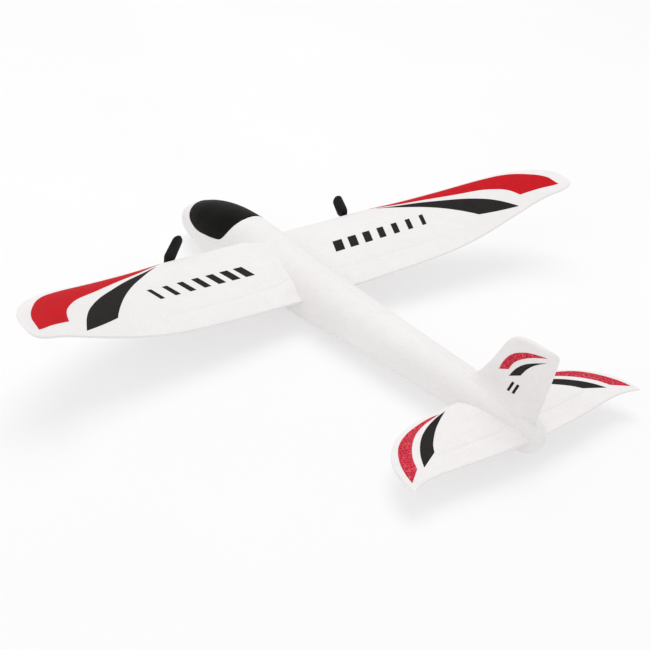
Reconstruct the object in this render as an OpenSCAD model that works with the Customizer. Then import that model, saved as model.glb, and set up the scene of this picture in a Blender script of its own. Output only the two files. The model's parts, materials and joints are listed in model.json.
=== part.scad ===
// Foam glider with two wing motors. Millimetres, +Z up, nose toward -Y, tail toward +Y.
// The pilot's left wing is at +X. The origin is under the middle of the model, on the
// surface that the belly rests on.

/* [Wing] */
// Full wing span
wing_span = 475; // [465:1:485]
// Dihedral of the inner wing, rise per unit of half span
wing_dihedral = 0.10; // [0.08:0.01:0.12]
// Upper thickness of the wing section as a share of the chord
wing_upper = 0.085; // [0.08:0.001:0.09]
// Thickness of the trailing edge
wing_edge = 1.6; // [1.4:0.1:2]

/* [Tail] */
// Full span of the horizontal tail
tail_span = 201; // [195:1:205]
// Thickness of the horizontal tail
tail_t = 3.6; // [3.2:0.1:4]
// Thickness of the fin at its foot
fin_t = 5.6; // [5:0.1:6]

/* [Power] */
// Distance of each motor from the centre line
motor_x = 84.5; // [83:0.5:86]
// Propeller diameter
prop_d = 51; // [46:1:56]
// Angle at which the propellers rest, from vertical, tips toward the fuselage
prop_lean = 29; // [0:1:60]
// Motor can diameter
can_d = 8.5; // [8.5:0.1:8.5]

/* [Hatch] */
// Wall thickness of the hatch cover
hatch_wall = 1.8; // [1.6:0.1:2]
// Gap between the hatch cover and the foam
hatch_gap = 0.3; // [0.25:0.05:0.4]

/* [Hidden] */
$fn = 48;

foam = [0.95, 0.94, 0.93];
kx = wing_span / 475;
kt = tail_span / 201;

// ---------------------------------------------------------------- tables
// Fuselage stations: [y, half width, top, bottom]
FUS = [[-196, 0.6, 18.8, 17.6], [-194, 4.6, 23.5, 14.2], [-188.5, 9.3, 28.5, 10.6],
  [-178, 14.6, 35.2, 6.8], [-162, 18.6, 42, 3.2], [-141, 20.5, 47, 0.7],
  [-119, 20.6, 49, -0.8], [-96, 20.5, 48, -0.8], [-71, 20.3, 45.6, -0.8],
  [-41, 19.8, 42.5, -0.5], [-16, 19.2, 40.6, 0.6], [9, 18.4, 39.2, 2.6],
  [39, 17.3, 37.8, 4.2], [79, 15.8, 36.2, 5.4], [119, 14.3, 35, 5.8],
  [151, 13, 34.4, 5.6], [169, 12.2, 33.2, 5.2], [183, 10.8, 30, 5.2],
  [190, 8.4, 26, 7.4], [194, 4.6, 21.4, 11.6], [196, 0.6, 17.6, 15.8]];
// Wing stations: [x, leading edge y, trailing edge y]
WNG = [[0, -100.5, -19], [25, -98, -17.5], [60, -93, -14], [85, -90, -12], [100, -87.8, -11],
  [140, -79.5, -9.5], [175, -68, -9], [200, -56.5, -7.4], [215, -46.2, -4.5],
  [226, -35.6, 0.2], [231, -28.5, 1.6], [234.5, -22, 1.4], [236.5, -16.5, -1.2], [237.5, -12.5, -6.5]];
// Tail plane stations: [x, leading edge y, trailing edge y]
STB = [[0, 136, 192], [26, 137, 191], [45, 138, 189.5], [60, 140.5, 188], [75, 146, 186.5],
  [85, 153, 186.5], [92, 160.5, 187.5], [97, 169, 189], [100.5, 181, 190.5]];
// Fin levels: [z, leading edge y, trailing edge y, share of full thickness]
FIN = [[24, 128, 186.6, 1], [33.6, 122.5, 188.4, 1], [35.4, 130, 188.8, 1], [38.6, 136.4, 189.4, 1],
  [43.5, 140.6, 190.4, 0.97], [53, 146.8, 192.2, 0.92], [62, 151.8, 194, 0.87], [70, 156.2, 195.4, 0.82],
  [74.4, 159.8, 196, 0.78], [77.2, 164.5, 195.8, 0.7], [78.6, 171, 194.6, 0.6], [79, 178, 191, 0.45]];
// Side view of the hatch edge: [y, z], front to rear, under the cover
HATCH = [[-174.4, 37.4], [-172.6, 35.9], [-170.4, 32.6], [-166.8, 29.5], [-162, 27.3],
  [-153.3, 25.3], [-146, 25.2], [-139.4, 26.1], [-132, 27], [-125.7, 28.1], [-120.7, 29.5],
  [-117.4, 31.8], [-114.1, 36.2], [-112.4, 39.6], [-110, 44.6], [-108.2, 48.2]];

// ---------------------------------------------------------------- functions
// Smooth interpolation of column k of a table at x
function idx(T, x, i = 0) = (i >= len(T) - 2 || T[i + 1][0] >= x) ? i : idx(T, x, i + 1);
function slope(T, j, k) = let (a = max(j - 1, 0), b = min(j + 1, len(T) - 1))
  (T[b][k] - T[a][k]) / (T[b][0] - T[a][0]);
function cr(T, xx, k) = let (x = min(max(xx, T[0][0]), T[len(T) - 1][0]), i = idx(T, x),
    h = T[i + 1][0] - T[i][0], t = (x - T[i][0]) / h)
  (2 * pow(t, 3) - 3 * t * t + 1) * T[i][k] + (pow(t, 3) - 2 * t * t + t) * slope(T, i, k) * h
  + (3 * t * t - 2 * pow(t, 3)) * T[i + 1][k] + (pow(t, 3) - t * t) * slope(T, i + 1, k) * h;
function sstep(a, b, x) = let (t = min(max((x - a) / (b - a), 0), 1)) t * t * (3 - 2 * t);
function sgn(v) = v < 0 ? -1 : 1;
// Half thickness of a streamlined section, 0.5 at its thickest
function naca(s) = 5 * (0.2969 * sqrt(s) - 0.126 * s - 0.3516 * s * s + 0.2843 * pow(s, 3) - 0.1015 * pow(s, 4));

// Fuselage section points, right half turned off: x >= 0, from keel to spine
fe = 2 / 2.2;
fq = 16;
function fus_pt(y, a, o) = let (w = cr(FUS, y, 1) - o, zt = cr(FUS, y, 2) - o, zb = cr(FUS, y, 3) + o,
    c = cos(a), s = sin(a))
  [max(w, 0.3) * pow(abs(c), fe), y, (zt + zb) / 2 + max((zt - zb) / 2, 0.3) * sgn(s) * pow(abs(s), fe)];
function fus_half(y, o = 0) = [for (i = [0:fq]) fus_pt(y, -90 + 180 * i / fq, o)];
function fus_full(y, o = 0) = [for (i = [0:2 * fq - 1]) fus_pt(y, -90 + 180 * i / fq, o)];
function fus_ring(y, o = 0) = [for (i = [0:fq]) fus_pt(y, -90 + 180 * i / fq, o),
  for (i = [fq - 1:-1:1]) let (p = fus_pt(y, -90 + 180 * i / fq, o)) [-p[0], p[1], p[2]]];

// Rise of the wing's chord line, and its two surfaces
function wing_z(x, y) = 20 - 0.115 * (y + 11) + wing_dihedral * x + 0.00168 * pow(max(0, x / kx - 110), 2);
function wing_pt(x, s, up) = let (le = cr(WNG, x / kx, 1), te = cr(WNG, x / kx, 2), c = te - le,
    y = le + s * c, z = wing_z(x, y), tip = 1 - 0.35 * sstep(200, 237.5, x / kx),
    root = up ? 14 * pow(max(0, 1 - max(x, 6) / 40), 2) * sstep(0.02, 0.38, s) * (1 - sstep(0.84, 1, s)) : 0)
  [x, y, z + (up ? wing_upper * c * tip * 2 * naca(s) + 0.0625 * c * tip * sqrt(s) * pow(1 - s, 3) + root : -0.028 * c * tip * 2 * naca(s)) + (up ? 1 : -1) * wing_edge / 2 * sqrt(s)];
WS = [1, 0.95, 0.88, 0.78, 0.68, 0.56, 0.44, 0.33, 0.23, 0.15, 0.085, 0.04, 0.012, 0];
WL = [0.012, 0.05, 0.13, 0.28, 0.48, 0.7, 0.88, 1];
function wing_ring(x) = [for (s = WS) wing_pt(x, s, true), for (s = WL) wing_pt(x, s, false)];
WX = [0, 5, 10, 15, 20, 26, 33, 42, 56, 75, 95, 112, 128, 145, 162, 178, 192, 204, 214, 222, 228, 232, 235, 236.7, 237.5];

// ---------------------------------------------------------------- builders
// Rings turned the same way round as the direction they are stacked in
function turned(R) = let (n = len(R[0]), o = [for (p = R[0]) 1], c = o * R[0] / n,
    A = o * [for (i = [0:n - 1]) cross(R[0][i] - c, R[0][(i + 1) % n] - c)], d = o * R[1] / n - c)
  A * d < 0 ? [for (r = R) [for (i = [n - 1:-1:0]) r[i]]] : R;
// Closed solid through rings of equal length, with flat ends
module loft(Q) {
  R = turned(Q);
  n = len(R[0]); m = len(R);
  polyhedron(points = [for (r = R) for (p = r) p],
    faces = concat([[for (i = [0:n - 1]) i]],
      [for (j = [0:m - 2]) for (i = [0:n - 1]) let (a = j * n + i, b = j * n + (i + 1) % n, c = a + n, d = b + n)
        each [[a, c, b], [b, c, d]]],
      [[for (i = [n - 1:-1:0]) (m - 1) * n + i]]), convexity = 8);
}
// Round cord through points P, radius r, n sides
function unit(v) = v / norm(v);
function cord_dir(P, i) = unit((i < len(P) - 1 ? P[i + 1] - P[i] : [0, 0, 0]) * 1.0 + (i > 0 ? P[i] - P[i - 1] : [0, 0, 0]) * 1.0);
function cord_ring(p, d, r, n) = let (u = unit(cross(d, abs(d[2]) > 0.9 ? [1, 0, 0] : [0, 0, 1])), v = cross(u, d))
  [for (k = [0:n - 1]) p + r * (cos(360 * k / n) * u + sin(360 * k / n) * v)];
module cord(P, r, n = 8) { loft([for (i = [0:len(P) - 1]) cord_ring(P[i], cord_dir(P, i), r, n)]); }
// Copy to the other side of the centre line
module other_side() { mirror([1, 0, 0]) children(); }

// ---------------------------------------------------------------- placing of what is inside
bay_y0 = -160; bay_y1 = -124;
board_z = 18;
motor_z = 32.8;
prop_y = -95.4;
can_y0 = -92.4; can_len = 20;
lead_y = -67;
FY = concat([-196, -195.3, -194.2, -192, -189.2, -185, -180, -174, -167], [for (y = [-159:9:-15]) y], [for (y = [-4:15:146]) y],
  [158, 168, 176, 182, 186.5, 190, 192.6, 194.4, 195.4, 196]);
function motor_route(g) = [[motor_x - 0.6, can_y0 + can_len + 1.4, motor_z], [motor_x - 1, can_y0 + can_len + 3, motor_z + 0.2],
  [motor_x - 3, lead_y, motor_z + 0.6], [motor_x - 8, lead_y, motor_z + 0.2], [48, lead_y, 30.2], [16, lead_y, 27],
  [11.5, lead_y - 1.5, 26.3], [10, lead_y - 5, 25.6], [9.6, -90, 23.2], [9.2, -112, 20.9], [9, -121, 20.3]];

// The outer body on one side of the centre line
module body_half() { loft([for (y = FY) fus_half(y)]); }
module wing_half() { loft([for (x = WX) wing_ring(x * kx)]); }
// The inner end of the wing, carried a little past the centre line
module wing_root() { loft(concat([[for (p = wing_ring(0)) p - [2, 0, 0]]], [for (x = WX) if (x < 34) wing_ring(x * kx)])); }
module tail_full(n = 11) {
  TX = [0, 26, 40, 52, 62, 71, 79, 86, 91, 95, 98, 100.5];
  TS = [1, 0.9, 0.75, 0.55, 0.35, 0.18, 0.07, 0.015];
  loft([for (i = [-n:n]) let (x = sgn(i) * TX[abs(i)], le = cr(STB, abs(x), 1), te = cr(STB, abs(x), 2),
      h = (tail_t / 2) * (1 - 0.3 * sstep(70, 100.5, abs(x))))
    concat([for (s = TS) [x * kt, le + s * (te - le), 19.5 + h * tail_sec(s)]], [[x * kt, le, 19.5]],
      [for (k = [len(TS) - 1:-1:0]) [x * kt, le + TS[k] * (te - le), 19.5 - h * tail_sec(TS[k])]])]);
}
function tail_sec(s) = min(1, 0.35 + 2.1 * sqrt(s)) * (1 - 0.62 * sstep(0.45, 1, s));
module fin_solid() {
  ZS = [24, 30, 33.6, 34.6, 35.6, 37, 39, 41.5, 45, 50, 56, 62, 67, 71, 74, 76, 77.4, 78.4, 79];
  FS = [1, 0.88, 0.7, 0.5, 0.3, 0.14, 0.05, 0.01];
  loft([for (z = ZS) let (le = cr(FIN, z, 1), te = cr(FIN, z, 2), h = fin_t / 2 * cr(FIN, z, 3))
    concat([for (s = FS) [h * fin_sec(s), le + s * (te - le), z]], [[0, le, z]],
      [for (k = [len(FS) - 1:-1:0]) [-h * fin_sec(FS[k]), le + FS[k] * (te - le), z]])]);
}
function fin_sec(s) = min(1, 0.2 + 2.2 * sqrt(s)) * (1 - 0.66 * sstep(0.5, 1, s));
// Region above the hatch edge, widened by g
module hatch_cut(g) {
  translate([0, 0, -g]) rotate([90, 0, 90]) translate([0, 0, -30])
    linear_extrude(60) polygon(concat([for (p = HATCH) p], [[-108.2, 60], [-174.4, 60]]));
}
module ring_x(x) { translate([x, 0, 0]) rotate([0, 90, 0]) children(); }

// ---------------------------------------------------------------- foam parts
module fuselage_left() {
  color(foam) resize([0, 0, 0]) difference() {
    body_half();
    translate([-5, -220, -10]) cube([60, 440, 10]);
    hatch_cut(0);
    // seat under the hatch, where its two feet stand
    translate([-1, -172.9, 25]) cube([10.4, 61.7, 30]);
    // electronics bay, narrow below the board and wide above it
    translate([-1, bay_y0, 5.5]) cube([11.6, bay_y1 - bay_y0, 30]);
    translate([-1, bay_y0 - 0.4, board_z]) cube([14, bay_y1 - bay_y0 + 0.8, 30]);
    // magnet seats
    for (y = [-167.6, -116.6]) translate([0, y, 22.9]) cylinder(d = 5.1, h = 5);
    // channel for the motor leads
    translate([7, bay_y1 - 1, 18.6]) cube([4.4, 60, 4]);
    translate([7, -106, 20]) cube([5, 41, 8]);
    wing_root();
    tail_full(2);
    fin_solid();
    joiner_shape(0.15);
  }
}
module fuselage_right() { color(foam) resize([0, 0, 0]) other_side() fuselage_left(); }
module wing_left() {
  color(foam) resize([0, 0, 0]) difference() {
    wing_half();
    joiner_shape(0.15);
    // bed for the motor mount
    translate([motor_x, -110, motor_z]) rotate([-90, 0, 0]) cylinder(d = 10.8, h = 110 + can_y0 + can_len + 0.6, $fn = 40);
    translate([motor_x, can_y0 + can_len + 0.4, motor_z]) rotate([-90, 0, 0]) cylinder(d = 9, h = 3.4, $fn = 32);
    // channel for the motor leads
    for (i = [0:7]) hull() for (j = [i, i + 1]) translate(motor_route(0)[j]) sphere(d = 3.2, $fn = 12);
  }
}
module wing_right() { color(foam) resize([0, 0, 0]) other_side() wing_left(); }
module stabilizer() { color(foam) tail_full(); }
module fin() { color(foam) fin_solid(); }

// Bent strip that joins the two wing halves
module joiner_shape(g) {
  z0 = wing_z(0, -58) + 1.6;
  translate([0, -58 + 0.8 + g, 0]) rotate([90, 0, 0]) linear_extrude(1.6 + 2 * g)
    polygon([[-58 - g, z0 + 58 * wing_dihedral - 2.2 - g], [0, z0 - 2.2 - g], [58 + g, z0 + 58 * wing_dihedral - 2.2 - g],
      [58 + g, z0 + 58 * wing_dihedral + 2.2 + g], [0, z0 + 2.2 + g], [-58 - g, z0 + 58 * wing_dihedral + 2.2 + g]]);
}
module wing_joiner() { color([0.12, 0.12, 0.13]) joiner_shape(0); }

// ---------------------------------------------------------------- hatch
// Angle on the body section at which the hatch edge runs
function edge_z(y) = lookup(y, HATCH);
function edge_a(y, o, z) = let (zt = cr(FUS, y, 2) - o, zb = cr(FUS, y, 3) + o, h = (zt - zb) / 2)
  asin(pow(min(max((z - (zt + zb) / 2) / h, 0), 0.9995), 1 / fe));
function hatch_arc(y, o, n) = let (a = edge_a(y, o, edge_z(y) + hatch_gap))
  [for (i = [0:n]) let (b = a + (180 - 2 * a) * i / n, p = fus_pt(y, b > 90 ? 180 - b : b, o)) [b > 90 ? -p[0] : p[0], p[1], max(p[2], edge_z(y) + hatch_gap)]];
HY = [-173.6, -172.6, -171, -169, -166.8, -164, -160, -155, -149, -143, -137, -131, -126, -122.6, -119.6, -117, -114.6, -112.8, -111.2, -109.9];
module canopy() {
  color([0.07, 0.07, 0.075]) resize([0, 0, 0]) difference() {
    union() {
      loft([for (y = HY) concat(hatch_arc(y, 0, 16), [for (i = [16:-1:0]) hatch_arc(y, hatch_wall, 16)[i]])]);
      // bars and feet that carry the magnets
      translate([-17.2, -165.4, 29.6]) cube([34.4, 2.8, 2.6]);
      translate([-4, -171.4, 25.4]) cube([8, 8.8, 6.8]);
      translate([-19.3, -124.4, 30]) cube([38.6, 3.2, 2.6]);
      translate([-4, -124.4, 25.4]) cube([8, 11, 7.2]);
    }
    for (y = [-167.6, -116.6]) translate([0, y, 20]) cylinder(d = 5.1, h = 5.4 + 1.6);
  }
}
module disc(y, z) { translate([0, y, z]) cylinder(d = 5, h = 1.5); }
module canopy_magnets() { color([0.72, 0.73, 0.75]) for (y = [-167.6, -116.6]) disc(y, 25.4); }
module hatch_magnets() { color([0.72, 0.73, 0.75]) for (y = [-167.6, -116.6]) disc(y, 23); }

// ---------------------------------------------------------------- electronics
module battery_pad() { color([0.2, 0.2, 0.22]) translate([-9.5, -158, 5.5]) cube([19, 30, 1]); }
module battery() {
  color([0.75, 0.77, 0.8]) {
    translate([-9.8, -158.4, 6.5]) cube([19.6, 29, 8]);
    translate([-9, -129.4, 7.5]) cube([18, 2.6, 6]);
  }
}
module battery_leads() {
  color([0.8, 0.1, 0.1]) for (x = [-3, 3]) cord([[x, -126.5, 11], [x, -126, 11.3], [x, -125.3, 12.6], [x, -125.2, 15], [x, -125.2, 18]], 0.5);
}
module receiver_board() {
  color([0.05, 0.35, 0.2]) difference() {
    translate([-12.6, bay_y0 + 0.2, board_z]) cube([25.2, bay_y1 - bay_y0 - 0.4, 1.2]);
    for (x = [-9, 9]) translate([x, -157, board_z - 1]) cylinder(d = 2, h = 4);
  }
}
module chip(x, y, w, l, h) { translate([x - w / 2, y - l / 2, board_z + 1.2]) cube([w, l, h]); }
module receiver_chips() {
  color([0.12, 0.12, 0.12]) {
    chip(-4.5, -146, 6, 6, 1);
    chip(-4.5, -136.5, 5, 4, 1.3);
    chip(6, -132, 3, 3, 1);
    chip(-10, -132, 3, 3, 1);
    chip(4, -142, 3.2, 1.6, 0.7);
    chip(4, -139, 3.2, 1.6, 0.7);
    chip(-10, -141, 1.6, 3.2, 0.7);
  }
}
module status_led() { color([0.9, 0.2, 0.2]) chip(10, -150, 1.6, 3, 1.2); }
module charge_socket() {
  color([0.95, 0.95, 0.92]) difference() {
    chip(-8.4, -154, 6, 6.6, 5);
    translate([-10.6, -157.5, board_z + 2.4]) cube([4.4, 5.6, 3]);
  }
}
module switch_case() {
  color([0.75, 0.76, 0.78]) difference() {
    chip(7.6, -142, 4, 9, 3.4);
    translate([5.6 + 0.5, -146.5 + 0.5, board_z + 1.8]) cube([3, 8, 2.3]);
    translate([6.6, -144.2, board_z + 3]) cube([2, 4.4, 3]);
  }
}
module switch_slider() {
  color([0.08, 0.08, 0.08]) {
    translate([6.3, -145.7, board_z + 2]) cube([2.6, 5, 1.9]);
    translate([6.75, -144.05, board_z + 3.5]) cube([1.7, 2, 3.1]);
  }
}
module antenna_wire() {
  color([0.15, 0.15, 0.16]) cord([[12, -125.2, board_z + 1.2], [12, -125.3, 20.2], [12, -126.2, 21.2], [12, -128.5, 21.7], [11.9, -136, 21.9],
    [11.7, -146, 22], [11.8, -152, 22.2], [12, -158, 22.6]], 0.45);
}

// ---------------------------------------------------------------- motors
module motor_mount_left() {
  color([0.1, 0.1, 0.1]) translate([motor_x, can_y0 - 0.6, motor_z]) rotate([-90, 0, 0]) difference() {
    // sleeve, rounded at its front rim
    rotate_extrude() polygon([[0, 0], [4.7, 0], [5.1, 0.15], [5.25, 0.6], [5.25, 20.6], [0, 20.6]]);
    translate([0, 0, -1]) cylinder(d = can_d + 0.1, h = 30);
    // slot that lets the lead out at the rear
    translate([-1.5, -6, 18.6]) cube([3, 6, 4]);
  }
}
module motor_can_left() {
  color([0.7, 0.71, 0.73]) translate([motor_x, can_y0, motor_z]) rotate([-90, 0, 0]) difference() {
    union() {
      cylinder(d = can_d, h = can_len - 1.4);
      translate([0, 0, -0.7]) cylinder(d = 3, h = 1);
    }
    translate([0, 0, 0.6]) cylinder(d = can_d - 0.8, h = can_len);
    translate([0, 0, -2]) cylinder(d = 1.08, h = 5);
  }
}
module motor_cap_left() {
  color([0.9, 0.9, 0.86]) translate([motor_x, can_y0 + can_len - 1.4, motor_z]) rotate([-90, 0, 0]) difference() {
    union() { cylinder(d = can_d, h = 1.4); translate([0, 0, -1.5]) cylinder(d = can_d - 0.9, h = 1.6); }
    translate([0, 0, -3]) cylinder(d = 1.08, h = 3.8);
  }
}
module rotor_left() {
  color([0.55, 0.36, 0.2]) translate([motor_x, can_y0, motor_z]) rotate([-90, 0, 0]) union() {
    translate([0, 0, -5.4]) cylinder(d = 1, h = can_len + 4);
    difference() {
      translate([0, 0, 2]) cylinder(d = 6.8, h = 14.4);
      translate([0, 0, -1]) cylinder(d = 5.6, h = 16);
    }
    translate([0, 0, 2]) cylinder(d = 6.8, h = 0.8);
  }
}
// Blade section at radius r, n points, twisted to keep a steady pitch
function blade_c(r) = let (u = (r - 2) / (prop_d / 2 - 2)) 4.4 + 4.4 * sstep(0, 0.3, u) - 0.4 * sstep(0.5, 1, u) - 6.6 * pow(max(0, (u - 0.8) / 0.2), 2.6);
function blade_ring(r) = let (c = max(blade_c(r), 0.9), t = 1.25 - 0.75 * r / (prop_d / 2), a = atan(18 / (2 * 3.14159 * max(r, 6))))
  [for (k = [0:9]) let (q = 360 * k / 10, u = c / 2 * cos(q), v = t / 2 * sin(q) + 0.1 * c * (1 - pow(cos(q), 2)))
    [u * cos(a) + v * sin(a), v * cos(a) - u * sin(a), r]];
module blade() {
  loft([for (r = [1.5, 3, 4.8, 7, 9.6, 12.4, 15.4, 18.4, 21, 23.2, 25, 26.4, 27.4, 28]) blade_ring(r * prop_d / 56)]);
}
module prop_at(lean) {
  translate([0, prop_y, 0]) rotate([0, -lean, 0]) resize([0, 0, 0]) union() {
    rotate([-90, 0, 0]) rotate_extrude() polygon([[0.5, 1.9], [2.3, 1.9], [2.3, -2.4], [1.7, -2.95], [0.9, -3.3], [0, -3.4], [0, -2.6], [0.5, -2.6]]);
    blade();
    rotate([0, 180, 0]) blade();
  }
}
module propeller_left() { color([0.08, 0.08, 0.08]) translate([motor_x, 0, motor_z]) prop_at(prop_lean); }
module motor_leads_left() { color([0.1, 0.15, 0.6]) cord(motor_route(0), 0.7); }

module motor_mount_right() { other_side() motor_mount_left(); }
module motor_can_right() { other_side() motor_can_left(); }
module motor_cap_right() { other_side() motor_cap_left(); }
module rotor_right() { other_side() rotor_left(); }
module propeller_right() { color([0.08, 0.08, 0.08]) translate([-motor_x, 0, motor_z]) prop_at(-prop_lean); }
module motor_leads_right() { other_side() motor_leads_left(); }

fuselage_left();
fuselage_right();
wing_left();
wing_right();
wing_joiner();
stabilizer();
fin();
canopy();
canopy_magnets();
hatch_magnets();
battery();
battery_pad();
battery_leads();
receiver_board();
receiver_chips();
status_led();
antenna_wire();
charge_socket();
switch_case();
switch_slider();
motor_mount_left();
motor_mount_right();
motor_can_left();
motor_can_right();
motor_cap_left();
motor_cap_right();
rotor_left();
rotor_right();
propeller_left();
propeller_right();
motor_leads_left();
motor_leads_right();
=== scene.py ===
import bpy, bmesh, json, math
import numpy as np
from mathutils import Vector, Matrix


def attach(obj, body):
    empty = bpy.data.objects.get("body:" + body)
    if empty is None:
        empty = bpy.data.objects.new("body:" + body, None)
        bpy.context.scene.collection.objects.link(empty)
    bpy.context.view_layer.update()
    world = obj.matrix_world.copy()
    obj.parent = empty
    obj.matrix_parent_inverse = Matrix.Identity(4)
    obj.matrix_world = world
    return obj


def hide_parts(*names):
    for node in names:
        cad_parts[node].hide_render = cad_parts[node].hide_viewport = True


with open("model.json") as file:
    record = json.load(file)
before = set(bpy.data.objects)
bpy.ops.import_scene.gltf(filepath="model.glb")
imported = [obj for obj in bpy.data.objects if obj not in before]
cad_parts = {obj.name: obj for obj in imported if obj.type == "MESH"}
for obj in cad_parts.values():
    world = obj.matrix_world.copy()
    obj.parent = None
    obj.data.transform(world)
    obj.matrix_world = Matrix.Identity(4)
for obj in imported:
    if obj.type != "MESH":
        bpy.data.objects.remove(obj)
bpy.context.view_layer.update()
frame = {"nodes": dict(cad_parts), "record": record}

MM = 0.001

# ------------------------------------------------------------ camera first
cam_data = bpy.data.cameras.new("camera")
cam_data.sensor_width = 36.0
cam_data.lens = 67.9
cam_data.clip_end = 60
cam = bpy.data.objects.new("camera", cam_data)
bpy.context.scene.collection.objects.link(cam)
back = Vector((0.5761, 0.6602, 0.4821)).normalized()
right = Vector((-0.7770, 0.6255, 0.0720))
right = (right - back * right.dot(back)).normalized()
up = back.cross(right)
cam.matrix_world = Matrix(((right.x, up.x, back.x, 0.5121), (right.y, up.y, back.y, 0.5739),
                           (right.z, up.z, back.z, 0.4289), (0, 0, 0, 1)))
bpy.context.scene.camera = cam

# ------------------------------------------------------------ tables, mm
FUS = [[-196, 0.6, 18.8, 17.6], [-194, 4.6, 23.5, 14.2], [-188.5, 9.3, 28.5, 10.6],
       [-178, 14.6, 35.2, 6.8], [-162, 18.6, 42, 3.2], [-141, 20.5, 47, 0.7],
       [-119, 20.6, 49, -0.8], [-96, 20.5, 48, -0.8], [-71, 20.3, 45.6, -0.8],
       [-41, 19.8, 42.5, -0.5], [-16, 19.2, 40.6, 0.6], [9, 18.4, 39.2, 2.6],
       [39, 17.3, 37.8, 4.2], [79, 15.8, 36.2, 5.4], [119, 14.3, 35, 5.8],
       [151, 13, 34.4, 5.6], [169, 12.2, 33.2, 5.2], [183, 10.8, 30, 5.2],
       [190, 8.4, 26, 7.4], [194, 4.6, 21.4, 11.6], [196, 0.6, 17.6, 15.8]]
WNG = [[0, -100.5, -19], [25, -98, -17.5], [60, -93, -14], [85, -90, -12], [100, -87.8, -11],
       [140, -79.5, -9.5], [175, -68, -9], [200, -56.5, -7.4], [215, -46.2, -4.5],
       [226, -35.6, 0.2], [231, -28.5, 1.6], [234.5, -22, 1.4], [236.5, -16.5, -1.2], [237.5, -12.5, -6.5]]
STB = [[0, 136, 192], [26, 137, 191], [45, 138, 189.5], [60, 140.5, 188], [75, 146, 186.5],
       [85, 153, 186.5], [92, 160.5, 187.5], [97, 169, 189], [100.5, 181, 190.5]]
FIN = [[24, 128, 186.6, 1], [33.6, 122.5, 188.4, 1], [35.4, 130, 188.8, 1], [38.6, 136.4, 189.4, 1],
       [43.5, 140.6, 190.4, 0.97], [53, 146.8, 192.2, 0.92], [62, 151.8, 194, 0.87], [70, 156.2, 195.4, 0.82],
       [74.4, 159.8, 196, 0.78], [77.2, 164.5, 195.8, 0.7], [78.6, 171, 194.6, 0.6], [79, 178, 191, 0.45]]
HATCH = [[-174.4, 37.4], [-172.6, 35.9], [-170.4, 32.6], [-166.8, 29.5], [-162, 27.3],
         [-153.3, 25.3], [-146, 25.2], [-139.4, 26.1], [-132, 27], [-125.7, 28.1], [-120.7, 29.5],
         [-117.4, 31.8], [-114.1, 36.2], [-112.4, 39.6], [-110, 44.6], [-108.2, 48.2]]
MOTOR_X, MOTOR_Z, PROP_Y, PROP_R = 84.5, 32.8, -95.4, 25.5


def cr(T, x, k):
    n = len(T)
    x = min(max(x, T[0][0]), T[-1][0])
    i = 0
    while i < n - 2 and T[i + 1][0] < x:
        i += 1
    h = T[i + 1][0] - T[i][0]
    t = (x - T[i][0]) / h

    def sl(j):
        a, b = max(j - 1, 0), min(j + 1, n - 1)
        return (T[b][k] - T[a][k]) / (T[b][0] - T[a][0])
    return ((2 * t ** 3 - 3 * t * t + 1) * T[i][k] + (t ** 3 - 2 * t * t + t) * sl(i) * h
            + (3 * t * t - 2 * t ** 3) * T[i + 1][k] + (t ** 3 - t * t) * sl(i + 1) * h)


def ss(a, b, x):
    t = min(max((x - a) / (b - a), 0.0), 1.0)
    return t * t * (3 - 2 * t)


def lerp(a, b, t):
    return a + (b - a) * t


def naca(s):
    return 5 * (0.2969 * math.sqrt(max(s, 0)) - 0.126 * s - 0.3516 * s * s + 0.2843 * s ** 3 - 0.1015 * s ** 4)


def path(P, n):
    """n points evenly spaced on a smooth curve through P."""
    P = [np.array(p, float) for p in P]
    out = []
    m = len(P)
    for i in range(m - 1):
        p0, p1, p2, p3 = P[max(i - 1, 0)], P[i], P[i + 1], P[min(i + 2, m - 1)]
        for j in range(24):
            t = j / 24
            out.append(0.5 * (2 * p1 + (p2 - p0) * t + (2 * p0 - 5 * p1 + 4 * p2 - p3) * t * t + (3 * p1 - p0 - 3 * p2 + p3) * t ** 3))
    out.append(P[-1])
    out = np.array(out)
    d = np.concatenate([[0], np.cumsum(np.linalg.norm(np.diff(out, axis=0), axis=1))])
    u = np.linspace(0, d[-1], n)
    return np.stack([np.interp(u, d, out[:, k]) for k in range(out.shape[1])], axis=1)


# ------------------------------------------------------------ mesh helpers
def make(name, verts, faces, smooth=35, body="airframe", mat=None, slot=None, unit=MM):
    me = bpy.data.meshes.new(name)
    me.from_pydata([tuple(float(c) * unit for c in v) for v in verts], [], [tuple(f) for f in faces])
    bm = bmesh.new()
    bm.from_mesh(me)
    bmesh.ops.remove_doubles(bm, verts=bm.verts, dist=1e-6)
    bmesh.ops.dissolve_degenerate(bm, edges=bm.edges, dist=1e-7)
    bmesh.ops.recalc_face_normals(bm, faces=bm.faces)
    bm.to_mesh(me)
    bm.free()
    ob = bpy.data.objects.new(name, me)
    bpy.context.scene.collection.objects.link(ob)
    shade(ob, smooth)
    if mat:
        me.materials.append(mat)
    return ob


def shade(ob, angle):
    me = ob.data
    if angle:
        me.shade_smooth()
        me.set_sharp_from_angle(angle=math.radians(angle))
    else:
        me.shade_flat()


def loft(rings, cap=True):
    n = len(rings[0])
    V = [p for r in rings for p in r]
    F = []
    for j in range(len(rings) - 1):
        for i in range(n):
            a, b = j * n + i, j * n + (i + 1) % n
            F.append((a, b, b + n, a + n))
    if cap:
        F.append(tuple(range(n - 1, -1, -1)))
        F.append(tuple(range((len(rings) - 1) * n, len(rings) * n)))
    return V, F


def join(parts):
    V, F = [], []
    for v, f in parts:
        o = len(V)
        V += list(v)
        F += [tuple(i + o for i in q) for q in f]
    return V, F


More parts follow.
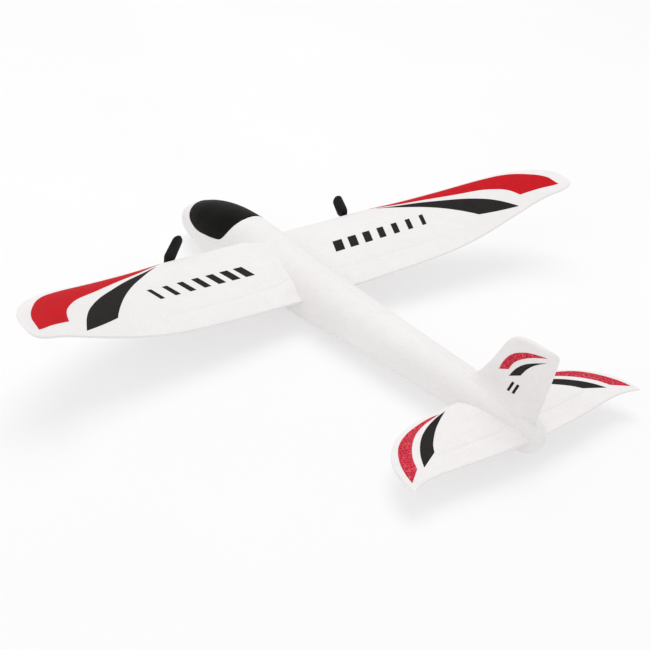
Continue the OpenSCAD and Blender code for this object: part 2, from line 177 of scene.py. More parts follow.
def bevelled(x0, y0, z0, x1, y1, z1, r, seg=3):
    """Box with rounded edges, as verts and faces."""
    bm = bmesh.new()
    bmesh.ops.create_cube(bm, size=1)
    for v in bm.verts:
        v.co = Vector(((x0 + x1) / 2 + v.co.x * (x1 - x0), (y0 + y1) / 2 + v.co.y * (y1 - y0), (z0 + z1) / 2 + v.co.z * (z1 - z0)))
    bmesh.ops.bevel(bm, geom=list(bm.edges) + list(bm.verts), offset=r, segments=seg, profile=0.5, affect="EDGES")
    bm.verts.ensure_lookup_table()
    bm.verts.index_update()
    out = ([tuple(v.co) for v in bm.verts], [tuple(v.index for v in f.verts) for f in bm.faces])
    bm.free()
    return out


def lathe(prof, seg=48, axis="y", at=(0, 0, 0)):
    """Closed profile of (radius, position) turned round an axis."""
    V, F = [], []
    n = len(prof)
    for k in range(seg):
        a = 2 * math.pi * k / seg
        for r, h in prof:
            c, s = r * math.cos(a), r * math.sin(a)
            p = {"y": (c, h, s), "z": (c, s, h), "x": (h, c, s)}[axis]
            V.append(tuple(p[i] + at[i] for i in range(3)))
    for k in range(seg):
        for i in range(n):
            a, b = k * n + i, k * n + (i + 1) % n
            c, d = ((k + 1) % seg) * n + i, ((k + 1) % seg) * n + (i + 1) % n
            F.append((a, b, d, c))
    return V, F


def cut(ob, cutter_parts):
    """Subtracts closed solids from ob, one after another."""
    for k, (V, F) in enumerate(cutter_parts):
        c = make("cutter_%d" % k, V, F, 0)
        m = ob.modifiers.new("b", "BOOLEAN")
        m.operation, m.solver, m.object = "DIFFERENCE", "EXACT", c
        dg = bpy.context.evaluated_depsgraph_get()
        me = bpy.data.meshes.new_from_object(ob.evaluated_get(dg))
        ob.modifiers.clear()
        ob.data = me
        bpy.data.objects.remove(c, do_unlink=True)


def box(x0, y0, z0, x1, y1, z1):
    V = [(x, y, z) for x in (x0, x1) for y in (y0, y1) for z in (z0, z1)]
    return V, [(0, 1, 3, 2), (4, 6, 7, 5), (0, 4, 5, 1), (2, 3, 7, 6), (0, 2, 6, 4), (1, 5, 7, 3)]


# ------------------------------------------------------------ materials
class Mat:
    def __init__(self, name, **k):
        self.m = bpy.data.materials.new(name)
        self.m.use_nodes = True
        self.t = self.m.node_tree
        self.p = [n for n in self.t.nodes if n.type == "BSDF_PRINCIPLED"][0]
        for key, v in k.items():
            self.p.inputs[key.replace("_", " ")].default_value = v
        self.co = self.t.nodes.new("ShaderNodeTexCoord").outputs["Object"]
        self.h = None

    def node(self, kind, **k):
        n = self.t.nodes.new(kind)
        for key, v in k.items():
            setattr(n, key, v)
        return n

    def link(self, a, b):
        self.t.links.new(a, b)

    def noise(self, scale, detail=4, rough=0.55, stretch=None):
        n = self.node("ShaderNodeTexNoise")
        n.inputs["Scale"].default_value = scale
        n.inputs["Detail"].default_value = detail
        n.inputs["Roughness"].default_value = rough
        src = self.co
        if stretch:
            mp = self.node("ShaderNodeMapping")
            mp.inputs["Scale"].default_value = stretch
            self.link(src, mp.inputs["Vector"])
            src = mp.outputs["Vector"]
        self.link(src, n.inputs["Vector"])
        return n.outputs["Fac"]

    def cells(self, scale, feature="DISTANCE_TO_EDGE", rand=1.0, warp=0.0):
        n = self.node("ShaderNodeTexVoronoi", feature=feature)
        n.inputs["Scale"].default_value = scale
        n.inputs["Randomness"].default_value = rand
        self.link(self.co, n.inputs["Vector"])
        return n.outputs["Color"] if feature == "F1" and warp < 0 else n.outputs["Distance"]

    def ramp(self, fac, stops):
        n = self.node("ShaderNodeValToRGB")
        e = n.color_ramp.elements
        while len(e) < len(stops):
            e.new(0.5)
        for el, (pos, c) in zip(e, stops):
            el.position = pos
            el.color = c if len(c) == 4 else (*c, 1)
        self.link(fac, n.inputs["Fac"])
        return n.outputs["Color"]

    def mix(self, fac, a, b, mode="MIX"):
        n = self.node("ShaderNodeMix", data_type="RGBA", blend_type=mode)
        for inp, v in ((n.inputs[0], fac), (n.inputs[6], a), (n.inputs[7], b)):
            if isinstance(v, (int, float, tuple)):
                inp.default_value = v
            else:
                self.link(v, inp)
        return n.outputs[2]

    def maprange(self, v, a, b, c, d):
        n = self.node("ShaderNodeMapRange")
        for i, x in zip(range(1, 5), (a, b, c, d)):
            n.inputs[i].default_value = x
        self.link(v, n.inputs[0])
        return n.outputs[0]

    def bump(self, height, dist, strength=1.0):
        n = self.node("ShaderNodeBump")
        n.inputs["Distance"].default_value = dist
        n.inputs["Strength"].default_value = strength
        self.link(height, n.inputs["Height"])
        if self.h is not None:
            self.link(self.h, n.inputs["Normal"])
        self.h = n.outputs["Normal"]
        self.link(self.h, self.p.inputs["Normal"])

    def color(self, c):
        self.link(c, self.p.inputs["Base Color"])

    def rough(self, v):
        self.link(v, self.p.inputs["Roughness"])


def foam():
    m = Mat("bead_foam", Specular_IOR_Level=0.25)
    edge = m.cells(430)
    seam = m.maprange(edge, 0.0, 0.09, 0.0, 1.0)
    big = m.noise(22, 3)
    blot = m.noise(140, 3)
    tone = m.ramp(big, [(0.3, (0.865, 0.838, 0.838)), (0.7, (0.90, 0.875, 0.875))])
    tone = m.mix(m.maprange(blot, 0.35, 0.7, 0.0, 0.35), tone, (0.835, 0.805, 0.805, 1))
    tone = m.mix(m.maprange(seam, 0, 1, 0.18, 0.0), tone, (0.66, 0.635, 0.635, 1))
    m.color(tone)
    m.rough(m.maprange(blot, 0.2, 0.8, 0.62, 0.82))
    m.bump(seam, 0.00012, 0.35)
    m.bump(m.noise(900, 5), 0.0001, 0.35)
    m.bump(m.noise(60, 3), 0.0005, 0.18)
    return m.m


def film(name, base, dark, light, crinkle):
    """Thin printed film on foam: the beads show through, more where it is crinkled."""
    m = Mat(name, Specular_IOR_Level=0.05)
    edge = m.cells(430 if crinkle < 0.5 else 520)
    seam = m.maprange(edge, 0.0, 0.06 if crinkle < 0.5 else 0.1, 0.0, 1.0)
    n = m.noise(160, 4)
    tone = m.ramp(n, [(0.3, dark), (0.62, base)])
    speck = m.maprange(m.noise(520, 5, 0.7), 0.62, 0.74, 0.0, 0.5 * crinkle + 0.04)
    tone = m.mix(speck, tone, (*light, 1))
    tone = m.mix(m.maprange(seam, 0, 1, 0.62 * crinkle, 0.0), tone, (*light, 1))
    m.color(tone)
    m.rough(m.maprange(n, 0.2, 0.8, 0.42, 0.6))
    m.bump(seam, 0.00012, 0.3 + 0.4 * crinkle)
    m.bump(m.noise(700, 4), 0.00008, 0.3)
    return m.m


def moulded(name, base, rough=(0.38, 0.55), grain=0.35, scale=900, metal=0.0, var=0.25, stretch=None, spec=0.5):
    m = Mat(name, Metallic=metal, Specular_IOR_Level=spec)
    n = m.noise(70, 4, stretch=stretch)
    lo = tuple(c * (1 - var) for c in base)
    hi = tuple(min(1, c * (1 + var)) for c in base)
    m.color(m.ramp(n, [(0.3, lo), (0.7, hi)]))
    m.rough(m.maprange(m.noise(240, 4, stretch=stretch), 0.25, 0.75, rough[0], rough[1]))
    m.bump(m.noise(scale, 4, stretch=stretch), 0.00006, grain)
    return m.m


FOAM = foam()
RED = film("film_red", (0.60, 0.005, 0.012), (0.52, 0.004, 0.010), (0.85, 0.25, 0.28), 0.08)
RED_T = film("film_red_crinkled", (0.62, 0.008, 0.032), (0.46, 0.006, 0.024), (0.86, 0.30, 0.36), 0.75)
BLACK = film("film_black", (0.020, 0.0175, 0.017), (0.013, 0.0115, 0.011), (0.22, 0.21, 0.20), 0.05)
BLACK_T = film("film_black_crinkled", (0.022, 0.020, 0.019), (0.013, 0.012, 0.011), (0.25, 0.24, 0.23), 0.3)
SHELL = moulded("shell_black", (0.0065, 0.006, 0.0055), (0.46, 0.6), 0.4, 1400, spec=0.055)
PROP = moulded("propeller_plastic", (0.011, 0.011, 0.011), (0.38, 0.5), 0.25, 900, spec=0.14)

# ------------------------------------------------------------ fuselage
E = 2 / 2.2


def fus_pt(y, a, o=0.0):
    w, zt, zb = cr(FUS, y, 1) - o, cr(FUS, y, 2) - o, cr(FUS, y, 3) + o
    c, s = math.cos(math.radians(a)), math.sin(math.radians(a))
    return [math.copysign(max(w, 0.3) * abs(c) ** E, c) if abs(c) > 1e-9 else 0.0, y,
            (zt + zb) / 2 + max((zt - zb) / 2, 0.3) * math.copysign(abs(s) ** E, s)]


def fus_stations():
    Y = [-196, -195.8, -195.4, -194.8, -194, -193, -191.8, -190.4, -189, -187.2, -185, -182.5, -180]
    Y += list(np.arange(-177, 181.1, 2.5))
    Y += [183, 185, 187, 188.8, 190.4, 191.8, 193, 194, 194.8, 195.4, 195.8, 196]
    return Y


def fus_skin():
    A = []
    for k in range(72):
        a = -90 + 5 * k
        if k in (0, 36):
            A += [a - 2.4, a - 1.0, a, a + 1.0, a + 2.4]
        else:
            A.append(a)
    rings = []
    for y in fus_stations():
        r = []
        for a in A:
            p = fus_pt(y, a)
            if abs(abs(a % 180) - 90) < 0.1 and -190 < y < 190:
                p[2] -= math.copysign(0.22, p[2] - 20)
            p[2] = max(p[2], 0.0)
            r.append(p)
        rings.append(r)
    return loft(rings)


def hatch_edge(n=70):
    return [tuple(p) for p in path(HATCH, n)]


def prism_x(poly, x0, x1):
    n = len(poly)
    V = [(x0, y, z) for y, z in poly] + [(x1, y, z) for y, z in poly]
    F = [(i, (i + 1) % n, (i + 1) % n + n, i + n) for i in range(n)]
    return V, F + [tuple(range(n - 1, -1, -1)), tuple(range(n, 2 * n))]


fus = make("fuselage_foam", *fus_skin(), 30, mat=FOAM)
cut(fus, [prism_x(hatch_edge() + [(-108.2, 60), (-174.4, 60)], -30, 30),
          box(-9.4, -172.9, 25, 9.4, -111.2, 55),
          box(-10.6, -160, 5.5, 10.6, -124, 40),
          box(-13, -160.4, 18, 13, -123.6, 40),
          lathe([(0.001, 22.9), (2.55, 22.9), (2.55, 30), (0.001, 30)], 48, "z", (0, -167.6, 0)),
          lathe([(0.001, 22.9), (2.55, 22.9), (2.55, 30), (0.001, 30)], 48, "z", (0, -116.6, 0))])
shade(fus, 30)
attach(fus, "airframe")
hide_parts("fuselage_left", "fuselage_right")

# ------------------------------------------------------------ wing
FLAP = [(10, -36.2), (20, -35.2), (60, -30.6), (115, -25), (128, -23.6), (140, -22.4)]


def flap_y(x):
    return float(np.interp(x, [p[0] for p in FLAP], [p[1] for p in FLAP]))


def wing_base(x, y):
    return 20 - 0.115 * (y + 11) + 0.10 * x + 0.00168 * max(0.0, x - 110) ** 2


def tip_share(x):
    t = 1 - 0.35 * ss(200, 237.5, x)
    if x > 233.5:
        t *= math.sqrt(max(0.0, 1 - ((x - 233.5) / 4.0) ** 2)) * 0.85 + 0.15
    return t


def wing_pt(x, s, top):
    le, te = cr(WNG, x, 1), cr(WNG, x, 2)
    c = te - le
    tip = tip_share(x)
    y = le + s * c
    z = wing_base(x, y)
    edge = 0.8 * math.sqrt(s) * min(1, tip / 0.65)
    if top:
        root = 14 * max(0.0, 1 - max(x, 6) / 40) ** 2 * ss(0.02, 0.38, s) * (1 - ss(0.84, 1, s))
        z += 0.085 * c * tip * 2 * naca(s) + 0.0625 * c * tip * math.sqrt(s) * (1 - s) ** 3 + root + edge
        g = flap_y(x)
        depth = 0.0
        if 18 <= x <= 128.3:
            depth = 0.32 * max(0.0, 1 - abs(y - g) / 0.85)
        if y > g:
            depth = max(depth, 0.32 * max(0.0, 1 - abs(x - 18) / 0.8), 0.32 * max(0.0, 1 - abs(x - 128) / 0.8))
        z -= depth * (1 - ss(0.985, 1, s))
    else:
        z -= 0.028 * c * tip * 2 * naca(s) + edge
    return (x, y, z)


def wing_top_z(x, y):
    le, te = cr(WNG, abs(x), 1), cr(WNG, abs(x), 2)
    s = min(max((y - le) / (te - le), 0.0), 1.0)
    return wing_pt(abs(x), s, True)[2]


def wing_skin(sign):
    X = list(np.arange(2, 17, 3)) + [17.1, 17.5, 18, 18.5, 18.9] + list(np.arange(21, 126.5, 2.5))
    X += [127.1, 127.5, 128, 128.5, 128.9] + list(np.arange(131, 200, 2.5)) + list(np.arange(200.5, 226, 1.5))
    X += [227, 228, 229, 230, 231, 232, 233, 233.8, 234.5, 235.2, 235.8, 236.3, 236.8, 237.2, 237.5]
    rings = []
    for x in X:
        le, te = cr(WNG, x, 1), cr(WNG, x, 2)
        c = te - le
        sg = min(max((flap_y(x) - le) / c, 0.5), 0.9)
        d = 0.85 / c
        S = [(sg - d) * (1 - math.cos(math.pi / 2 * k / 34)) for k in range(35)]
        S += [sg - d / 2, sg, sg + d / 2, sg + d] + [lerp(sg + d, 1, k / 9) for k in range(1, 10)]
        top = [wing_pt(x, s, True) for s in reversed(S)]
        S2 = [(1 - math.cos(math.pi * k / 56)) ** 1.0 / 1.0 for k in range(1, 29)]
        S2 = [min(1.0, v) for v in S2]
        bot = [wing_pt(x, s, False) for s in S2]
        a, b = top[0], bot[-1]
        r = (a[2] - b[2]) / 2
        rear = [(x, a[1] + r * 0.55 * math.sin(math.pi * k / 6), b[2] + r - r * math.cos(math.pi * k / 6)) for k in range(1, 6)]
        rings.append([(sign * p[0], p[1], p[2]) for p in top + bot + rear])
    return loft(rings)


for side, sign in (("left", 1), ("right", -1)):
    w = make("wing_foam_" + side, *wing_skin(sign), 40, mat=FOAM)
    cx = sign * MOTOR_X
    cut(w, [lathe([(0.001, -112), (5.4, -112), (5.4, -71.8), (0.001, -71.8)], 56, "y", (cx, 0, MOTOR_Z))])
    shade(w, 40)
    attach(w, "airframe")
    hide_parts("wing_" + side)

# ------------------------------------------------------------ tail
def tail_sec(s):
    return min(1, 0.35 + 2.1 * math.sqrt(s)) * (1 - 0.62 * ss(0.45, 1, s))


def tail_half(x, s, y):
    h = 1.8 * (1 - 0.3 * ss(70, 100.5, x))
    if x > 97.5:
        h *= math.sqrt(max(0.02, 1 - ((x - 97.5) / 3.2) ** 2))
    sec = math.sqrt(min(1, s / 0.05)) * 0.25 + 0.75 * min(1, 0.3 + 2.1 * math.sqrt(s)) if s < 0.12 else min(1, 0.35 + 2.1 * math.sqrt(s))
    v = h * sec * (1 - 0.62 * ss(0.45, 1, s))
    v += 0.016 * max(0.0, 25 - x) ** 2 * ss(0.0, 0.3, s) * (1 - ss(0.8, 1.0, s))
    g = 175.6 - 0.055 * (x - 20)
    v -= 0.4 * max(0.0, 1 - abs(y - g) / 0.8) * (1 - ss(64, 70, x))
    return v


def tail_top(x, y):
    x = abs(x)
    le, te = cr(STB, x, 1), cr(STB, x, 2)
    s = min(max((y - le) / (te - le), 0), 1)
    return 19.5 + tail_half(x, s, y)


def tail_skin():
    X = list(np.arange(0, 96, 2.0)) + [96.5, 97.5, 98.2, 98.9, 99.5, 100, 100.3, 100.5]
    X = [-x for x in reversed(X[1:])] + X
    rings = []
    for x in X:
        ax = abs(x)
        le, te = cr(STB, ax, 1), cr(STB, ax, 2)
        c = te - le
        g = (175.6 - 0.055 * (ax - 20) - le) / c
        d = 0.8 / c
        g = min(max(g, 0.3), 0.9)
        S = [(g - d) * (1 - math.cos(math.pi / 2 * k / 26)) for k in range(27)]
        S += [g - d / 2, g, g + d / 2, g + d] + [lerp(g + d, 1, k / 6) for k in range(1, 7)]
        top = [(x, le + s * c, 19.5 + tail_half(ax, s, le + s * c)) for s in reversed(S)]
        bot = [(x, le + s * c, 19.5 - tail_half(ax, s, -999)) for s in S[1:]]
        r = (top[0][2] - bot[-1][2]) / 2
        rear = [(x, te + r * 0.6 * math.sin(math.pi * k / 5), 19.5 - r * math.cos(math.pi * k / 5)) for k in range(1, 5)]
        rings.append(top + bot + rear)
    return loft(rings)


tail = make("tail_foam", *tail_skin(), 40, mat=FOAM)
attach(tail, "airframe")
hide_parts("stabilizer")


def fin_half(z, s):
    h = 2.8 * cr(FIN, z, 3)
    if z > 76.5:
        h *= math.sqrt(max(0.06, 1 - ((z - 76.5) / 2.6) ** 2))
    sec = min(1, 0.2 + 2.2 * math.sqrt(s)) * (1 - 0.66 * ss(0.5, 1, s))
    if s < 0.02:
        sec *= math.sqrt(s / 0.02) * 0.9 + 0.1
    v = h * sec
    return v + 0.055 * max(0.0, 41 - max(z, 30)) ** 2 * ss(0.0, 0.22, s) * (1 - ss(0.85, 1, s))


def fin_side(y, z):
    le, te = cr(FIN, z, 1), cr(FIN, z, 2)
    s = min(max((y - le) / (te - le), 0), 1)
    return fin_half(z, s)


def fin_skin():
    Z = [25, 28, 31, 33, 33.8, 34.4, 35, 35.6, 36.2, 37, 38, 39, 40, 41, 42.5, 44] + list(np.arange(46, 73, 2.0))
    Z += [73.5, 75, 76, 76.8, 77.4, 77.9, 78.3, 78.6, 78.85, 79]
    rings = []
    S = [1 - math.cos(math.pi / 2 * k / 30) for k in range(31)]
    for z in Z:
        le, te = cr(FIN, z, 1), cr(FIN, z, 2)
        a = [(fin_half(z, s), le + s * (te - le), z) for s in reversed(S)]
        b = [(-fin_half(z, s), le + s * (te - le), z) for s in S[1:]]
        r = a[0][0]
        rear = [(-r * math.cos(math.pi * k / 5), te + r * 0.6 * math.sin(math.pi * k / 5), z) for k in range(1, 5)]
        rings.append(a + b + rear)
    return loft(rings)


fin = make("fin_foam", *fin_skin(), 40, mat=FOAM)
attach(fin, "airframe")
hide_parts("fin")

# ------------------------------------------------------------ printed film shapes
def patch(name, A, B, put, mat, n=70, m=14, lift=0.1, sink=0.12):
    """Thin closed sheet ruled between curves A and B, laid on a surface by put(u, v, d)."""
    A, B = path(A, n), path(B, n)
    G = [[A[i] * (1 - j / (m - 1)) + B[i] * (j / (m - 1)) for j in range(m)] for i in range(n)]
    V, F = [], []
    for d in (lift, -sink):
        for i in range(n):
            for j in range(m):
                V.append(put(G[i][j][0], G[i][j][1], d))
    o = n * m
    for i in range(n - 1):
        for j in range(m - 1):
            a = i * m + j
            F.append((a, a + 1, a + m + 1, a + m))
            F.append((o + a, o + a + m, o + a + m + 1, o + a + 1))
    loop = [i * m for i in range(n)] + [(n - 1) * m + j for j in range(1, m)] + [i * m + m - 1 for i in range(n - 2, -1, -1)] + [j for j in range(m - 2, 0, -1)]
    for k in range(len(loop)):
        a, b = loop[k], loop[(k + 1) % len(loop)]
        F.append((a, b, b + o, a + o))
    ob = make(name, V, F, 40, mat=mat)
    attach(ob, "airframe")
    return ob


def to_ws(P):
    """(x, y) on the wing as (x, root of the chord share), which spreads points evenly round the leading edge."""
    out = []
    for x, y in P:
        le, te = cr(WNG, x, 1), cr(WNG, x, 2)
        out.append((x, math.sqrt(min(max((y - le) / (te - le), 0.0), 1.0))))
    return out


def on_wing(sign):
    """Places (x, w) on the wing's upper face, d off it along the normal."""
    def put(x, w, d):
        w = min(max(w, 0.001), 0.999)
        p = np.array(wing_pt(x, w * w, True))
        a = np.array(wing_pt(x + 0.2, w * w, True)) - np.array(wing_pt(x - 0.2, w * w, True))
        b = np.array(wing_pt(x, (w + 0.001) ** 2, True)) - np.array(wing_pt(x, (w - 0.001) ** 2, True))
        nrm = np.cross(a, b)
        nrm = nrm / np.linalg.norm(nrm)
        if nrm[2] < 0:
            nrm = -nrm
        q = p + nrm * d
        return (sign * q[0], q[1], q[2])
    return put


RED_A = [(96.7, -83.4), (112.9, -80.4), (129.8, -76.2), (151.5, -70.3), (176.7, -61.6), (193.6, -53.6), (209.9, -42.5), (220.2, -30.2), (225.3, -21.9), (228.5, -12.8), (228.5, -5.2)]
RED_B = [(96.7, -83.4), (118.4, -74.8), (139.8, -66.4), (163.9, -54.8), (181.2, -45.6), (192.3, -36.4), (198.0, -28.9), (201.3, -19.8)]
BLK_A = [(101.7, -79.4), (116.6, -73.2), (132.9, -66.1), (150.3, -56.3), (164.7, -47.1), (177.5, -36.1), (185.8, -25.8), (193.3, -12.4)]
BLK_B = [(101.7, -79.4), (119.7, -68.2), (132.1, -59.6), (144.1, -49.3), (153.4, -39.4), (159.8, -31.4), (163.3, -26.4)]
for side, sign in (("left", 1), ("right", -1)):
    put = on_wing(sign)
    patch("film_red_wing_" + side, to_ws(RED_A), to_ws(RED_B), put, RED, 110, 30)
    patch("film_black_wing_" + side, to_ws(BLK_A), to_ws(BLK_B), put, BLACK, 110, 22)
    put = lambda u, v, d, s=sign: (s * u, v, tail_top(u, v) + d)
    patch("film_red_tail_" + side, [(35.6, 141.4), (43.9, 141.4), (55.9, 143.4), (67.2, 146.6), (77.2, 151.6), (84.6, 158.0), (91.0, 166.9), (95.3, 176.4), (97.4, 184.6)],
          [(35.6, 141.4), (50.7, 145.0), (60.8, 149.0), (68.5, 153.9), (75.9, 160.6), (82.0, 168.3), (86.1, 176.4)], put, RED_T, 60, 12)
    patch("film_black_tail_" + side, [(29.8, 140.8), (40.8, 143.8), (51.5, 148.0), (61.8, 154.0), (69.8, 161.0), (76.2, 168.6), (81.5, 177.4)],
          [(29.8, 140.8), (39.5, 146.4), (48.0, 151.9), (55.3, 157.8), (61.7, 163.8), (66.5, 170.0)], put, BLACK, 60, 12)
    put = lambda u, v, d, s=sign: (s * (fin_side(u, v) + d), u, v)
    patch("film_red_fin_" + side, [(155.2, 50.6), (158.0, 58.0), (163.4, 65.0), (171.9, 70.2), (180.6, 73.0), (189.0, 74.2)],
          [(162.6, 54.0), (165.7, 60.0), (171.5, 65.4), (179.9, 70.5), (189.0, 74.2)], put, RED_T, 44, 10)
    patch("film_black_fin_" + side, [(163.7, 49.9), (167.8, 56.8), (173.5, 62.6), (180.6, 67.0), (189.0, 71.0)],
          [(172.4, 54.5), (176.5, 61.0), (182.0, 66.4), (189.0, 71.0)], put, BLACK_T, 44, 10)

# Plain slanted bars where the maker's wording sits, and two short bars on the fin
def bar(name, c, u, w, ln, slant, put, mat):
    """Parallelogram centred at c: along direction u, width w, length ln, leaning by slant."""
    u = np.array(u) / np.linalg.norm(u)
    v = np.array((-u[1], u[0]))
    c = np.array(c)
    A = [tuple(c - u * w / 2 - v * ln / 2 - u * slant / 2), tuple(c - u * w / 2 + v * ln / 2 + u * slant / 2)]
    B = [tuple(c + u * w / 2 - v * ln / 2 - u * slant / 2), tuple(c + u * w / 2 + v * ln / 2 + u * slant / 2)]
    return patch(name, A, B, put, mat, 12, 6)


for side, sign in (("left", 1), ("right", -1)):
    put = lambda u, v, d, s=sign: on_wing(s)(u, to_ws([(u, v)])[0][1], d)
    for k in range(7):
        x = 44 + 13.0 * k
        yc = -55.5 + 0.10 * (x - 40)
        bar("wing_bar_%s_%d" % (side, k), (x, yc), (1, 0.10), 8.2 - 0.75 * k, 11, -3.5, put, BLACK)
    put = lambda u, v, d, s=sign: (s * (fin_side(u, v) + d), u, v)
    for k in range(2):
        bar("fin_bar_%s_%d" % (side, k), (166.5 + 4.0 * k, 43.8), (1, 0.0), 1.9, 7.5, 3.0, put, BLACK)

# ------------------------------------------------------------ canopy
def edge_z(y):
    return float(np.interp(y, EDGE[:, 0], EDGE[:, 1]))


EDGE = path(HATCH, 200)
GAP = 0.3


def arc(y, o, n=40, grow=0.0):
    zt, zb = cr(FUS, y, 2) - o, cr(FUS, y, 3) + o
    ez = edge_z(y) + GAP + grow
    h = (zt - zb) / 2
    q = min(max((ez - (zt + zb) / 2) / h, 0), 0.9995)
    a = math.degrees(math.asin(q ** (1 / E)))
    out = []
    for i in range(n + 1):
        b = a + (180 - 2 * a) * i / n
        p = fus_pt(y, b, o)
        out.append([p[0], y, max(p[2], ez)])
    return out


CY = list(np.arange(-173.9, -168, 0.6)) + list(np.arange(-167.6, -122, 2.0)) + list(np.arange(-121.4, -109.2, 0.7))
rings = []
for y in CY:
    outer = arc(y, 0.0)
    mid = arc(y, 0.35, grow=0.0)
    inner = arc(y, 1.8)
    # edge rounded between the outer and inner faces
    outer[0][2] += 0.25
    outer[-1][2] += 0.25
    rings.append(outer + [list(mid[-1])] + list(reversed(inner)) + [list(mid[0])])
can = make("canopy_shell", *loft(rings), 45, mat=SHELL)
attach(can, "canopy_hatch")
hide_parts("canopy")
ribs = make("canopy_ribs", *join([bevelled(-16.4, -165.4, 29.6, 16.4, -162.6, 32.2, 0.35), bevelled(-18.2, -124.4, 30, 18.2, -121.2, 32.6, 0.35),
                                  bevelled(-4, -171.4, 26.9, 4, -162.6, 32.1, 0.5), bevelled(-4, -124.4, 26.9, 4, -113.4, 32.5, 0.5),
                                  lathe([(2.55, 25.45), (3.8, 25.4), (3.9, 25.6), (3.9, 27.2), (2.55, 27.2)], 48, "z", (0, -167.6, 0)),
                                  lathe([(2.55, 25.45), (3.8, 25.4), (3.9, 25.6), (3.9, 27.2), (2.55, 27.2)], 48, "z", (0, -116.9, 0))]), 30, mat=SHELL)
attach(ribs, "canopy_hatch")

# ------------------------------------------------------------ propellers
def blade_c(r):
    u = (r - 2) / (PROP_R - 2)
    return 4.4 + 4.4 * ss(0, 0.3, u) - 0.4 * ss(0.5, 1, u) - 6.6 * max(0, (u - 0.8) / 0.2) ** 2.6


def blade(n=28):
    R = [1.2, 2, 3, 4.5, 6, 8, 10, 12, 14, 16, 18, 20, 21.5, 23, 24.2, 25.2, 26, 26.6, 27.1, 27.5, 27.8, 28]
    rings = []
    for q0 in R:
        r = q0 * PROP_R / 28
        c = max(blade_c(r), 0.6)
        t = (1.25 - 0.75 * q0 / 28) * (1 if q0 < 26.6 else 0.9 * math.sqrt(max(0.03, 1 - ((q0 - 26.6) / 1.5) ** 2)))
        a = math.atan(18 / (2 * math.pi * max(r, 6)))
        ring = []
        for k in range(n):
            q = 2 * math.pi * k / n
            u = c / 2 * math.cos(q)
            v = t / 2 * math.sin(q) + 0.1 * c * (1 - math.cos(q) ** 2)
            ring.append((u * math.cos(a) + v * math.sin(a), v * math.cos(a) - u * math.sin(a), r))
        rings.append(ring)
    return loft(rings)


def turned(part, ang):
    V, F = part
    c, s = math.cos(ang), math.sin(ang)
    return [(x * c + z * s, y, -x * s + z * c) for x, y, z in V], F


for side, sign in (("left", 1), ("right", -1)):
    lean = sign * math.radians(-29)
    hub = lathe([(0.5, 1.8), (2.1, 1.9), (2.3, 1.7), (2.3, -2.2), (2.15, -2.7), (1.7, -3.15), (0.9, -3.45), (0.5, -3.5)], 48, "y")
    cap = lathe([(0.001, -3.1), (0.5, -3.1), (0.5, -2.7), (0.001, -2.7)], 24, "y")
    V, F = join([turned(blade(), lean), turned(blade(), lean + math.pi), turned(hub, 0), cap])
    V = [(x + sign * MOTOR_X, y + PROP_Y, z + MOTOR_Z) for x, y, z in V]
    p = make("propeller_blades_" + side, V, F, 40, mat=PROP)
    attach(p, side + "_propeller")
    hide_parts("propeller_" + side)

# ------------------------------------------------------------ battery pouch and pad, under the board
pouch = make("battery_pouch", *join([bevelled(-9.7, -158.3, 6.6, 9.7, -129.6, 14.4, 1.6, 4), bevelled(-8.9, -129.9, 7.7, 8.9, -126.9, 13.3, 0.6, 3),
                                    bevelled(-9.75, -157.5, 10.0, 9.75, -130.5, 11.0, 0.3, 2)]), 35)
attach(pouch, "airframe")
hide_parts("battery")

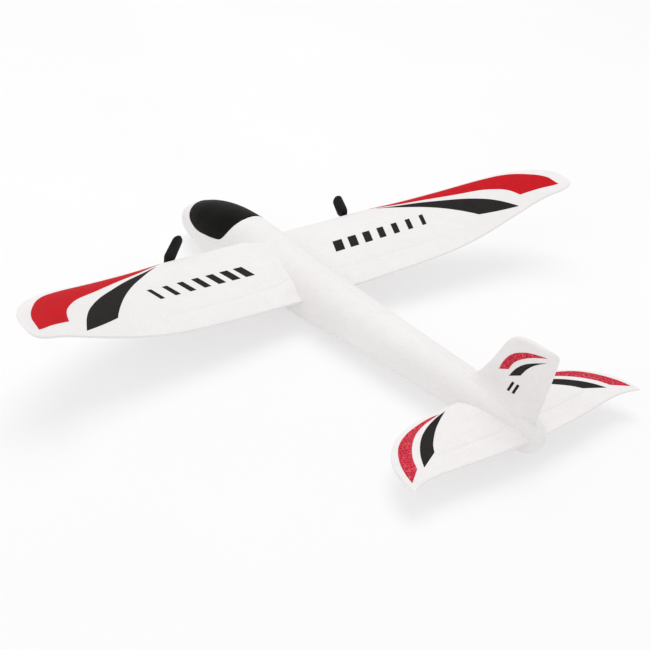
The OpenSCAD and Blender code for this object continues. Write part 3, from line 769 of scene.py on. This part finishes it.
# ------------------------------------------------------------ materials of the pieces that stay from the CAD model
CADM = {
    "battery_foil": moulded("foil", (0.62, 0.64, 0.66), (0.28, 0.42), 0.7, 500, 0.85, 0.06),
    "joiner_strip": moulded("carbon_strip", (0.03, 0.03, 0.033), (0.3, 0.45), 0.4, 700, 0, 0.3, (1, 12, 12)),
    "magnet": moulded("nickel", (0.6, 0.61, 0.62), (0.2, 0.36), 0.15, 1200, 1.0, 0.08),
    "foam_pad": moulded("pad_black", (0.03, 0.03, 0.03), (0.85, 0.95), 1.0, 1500, 0, 0.3),
    "battery_wire": moulded("wire_red", (0.5, 0.02, 0.02), (0.35, 0.5), 0.2, 900),
    "circuit_board": moulded("solder_mask", (0.015, 0.14, 0.06), (0.25, 0.38), 0.25, 1600, 0, 0.3),
    "chip_black": moulded("chip_resin", (0.02, 0.02, 0.02), (0.5, 0.65), 0.5, 2500),
    "led": moulded("led_red", (0.7, 0.05, 0.04), (0.12, 0.2), 0.05, 900),
    "wire_grey": moulded("wire_grey", (0.06, 0.06, 0.065), (0.4, 0.55), 0.2, 900),
    "socket_white": moulded("socket_ivory", (0.78, 0.76, 0.7), (0.35, 0.5), 0.2, 1500, 0, 0.06),
    "switch_metal": moulded("tinned_steel", (0.55, 0.56, 0.57), (0.25, 0.4), 0.3, 1500, 1.0, 0.1),
    "switch_black": moulded("switch_knob", (0.025, 0.025, 0.025), (0.4, 0.55), 0.3, 1500),
    "mount_black": moulded("mount_plastic", (0.02, 0.02, 0.02), (0.35, 0.5), 0.3, 1200),
    "motor_steel": moulded("motor_steel", (0.56, 0.56, 0.58), (0.2, 0.36), 0.3, 900, 1.0, 0.08, (1, 20, 1)),
    "cap_cream": moulded("cap_nylon", (0.72, 0.7, 0.62), (0.4, 0.55), 0.2, 1200, 0, 0.08),
    "rotor_copper": moulded("copper_wire", (0.55, 0.24, 0.1), (0.25, 0.4), 0.6, 1500, 1.0, 0.15, (1, 30, 1)),
    "wire_blue": moulded("wire_blue", (0.02, 0.05, 0.4), (0.35, 0.5), 0.2, 900),
    "epp_foam": FOAM, "canopy_shell": SHELL, "propeller_black": PROP,
}
pouch.data.materials.append(CADM["battery_foil"])
slots = {s["node"]: s["material_slot"] for s in frame["record"]["subparts"]}
for node, ob in frame["nodes"].items():
    m = CADM[slots[node]]
    if ob.material_slots:
        for ms in ob.material_slots:
            ms.material = m
    else:
        ob.data.materials.append(m)

# ------------------------------------------------------------ floor, light
def area(name, loc, target, size, power, color=(1, 1, 1)):
    L = bpy.data.lights.new(name, "AREA")
    L.shape = "DISK"
    L.size = size
    L.energy = power
    L.color = color
    o = bpy.data.objects.new(name, L)
    o.location = loc
    o.rotation_euler = (Vector(target) - Vector(loc)).to_track_quat("-Z", "Y").to_euler()
    bpy.context.scene.collection.objects.link(o)


fl = make("floor", [(-12, -12, 0), (12, -12, 0), (12, 12, 0), (-12, 12, 0)], [(0, 1, 2, 3)], 0, unit=1.0)
fm = Mat("floor_white", Roughness=0.7, Specular_IOR_Level=0.2)
fm.color(fm.ramp(fm.noise(3, 3), [(0.3, (0.545, 0.545, 0.545)), (0.7, (0.56, 0.56, 0.56))]))
fm.p.inputs["Emission Color"].default_value = (1, 1, 1, 1)
fm.p.inputs["Emission Strength"].default_value = 0.40
fl.data.materials.append(fm.m)
fl.location.z = -0.0001

vs = bpy.context.scene.view_settings
vs.view_transform = "Standard"
vs.look = "None"
vs.exposure = 0.0
vs.gamma = 1.0
world = bpy.data.worlds.new("studio")
bpy.context.scene.world = world
world.use_nodes = True
bg = world.node_tree.nodes["Background"]
bg.inputs[0].default_value = (1, 1, 1, 1)
bg.inputs[1].default_value = 0.76
area("key", (-0.35, -0.55, 2.2), (0, 0, 0.03), 2.0, 16)
area("fill", (1.5, 0.5, 1.3), (0, 0, 0.03), 1.6, 3)
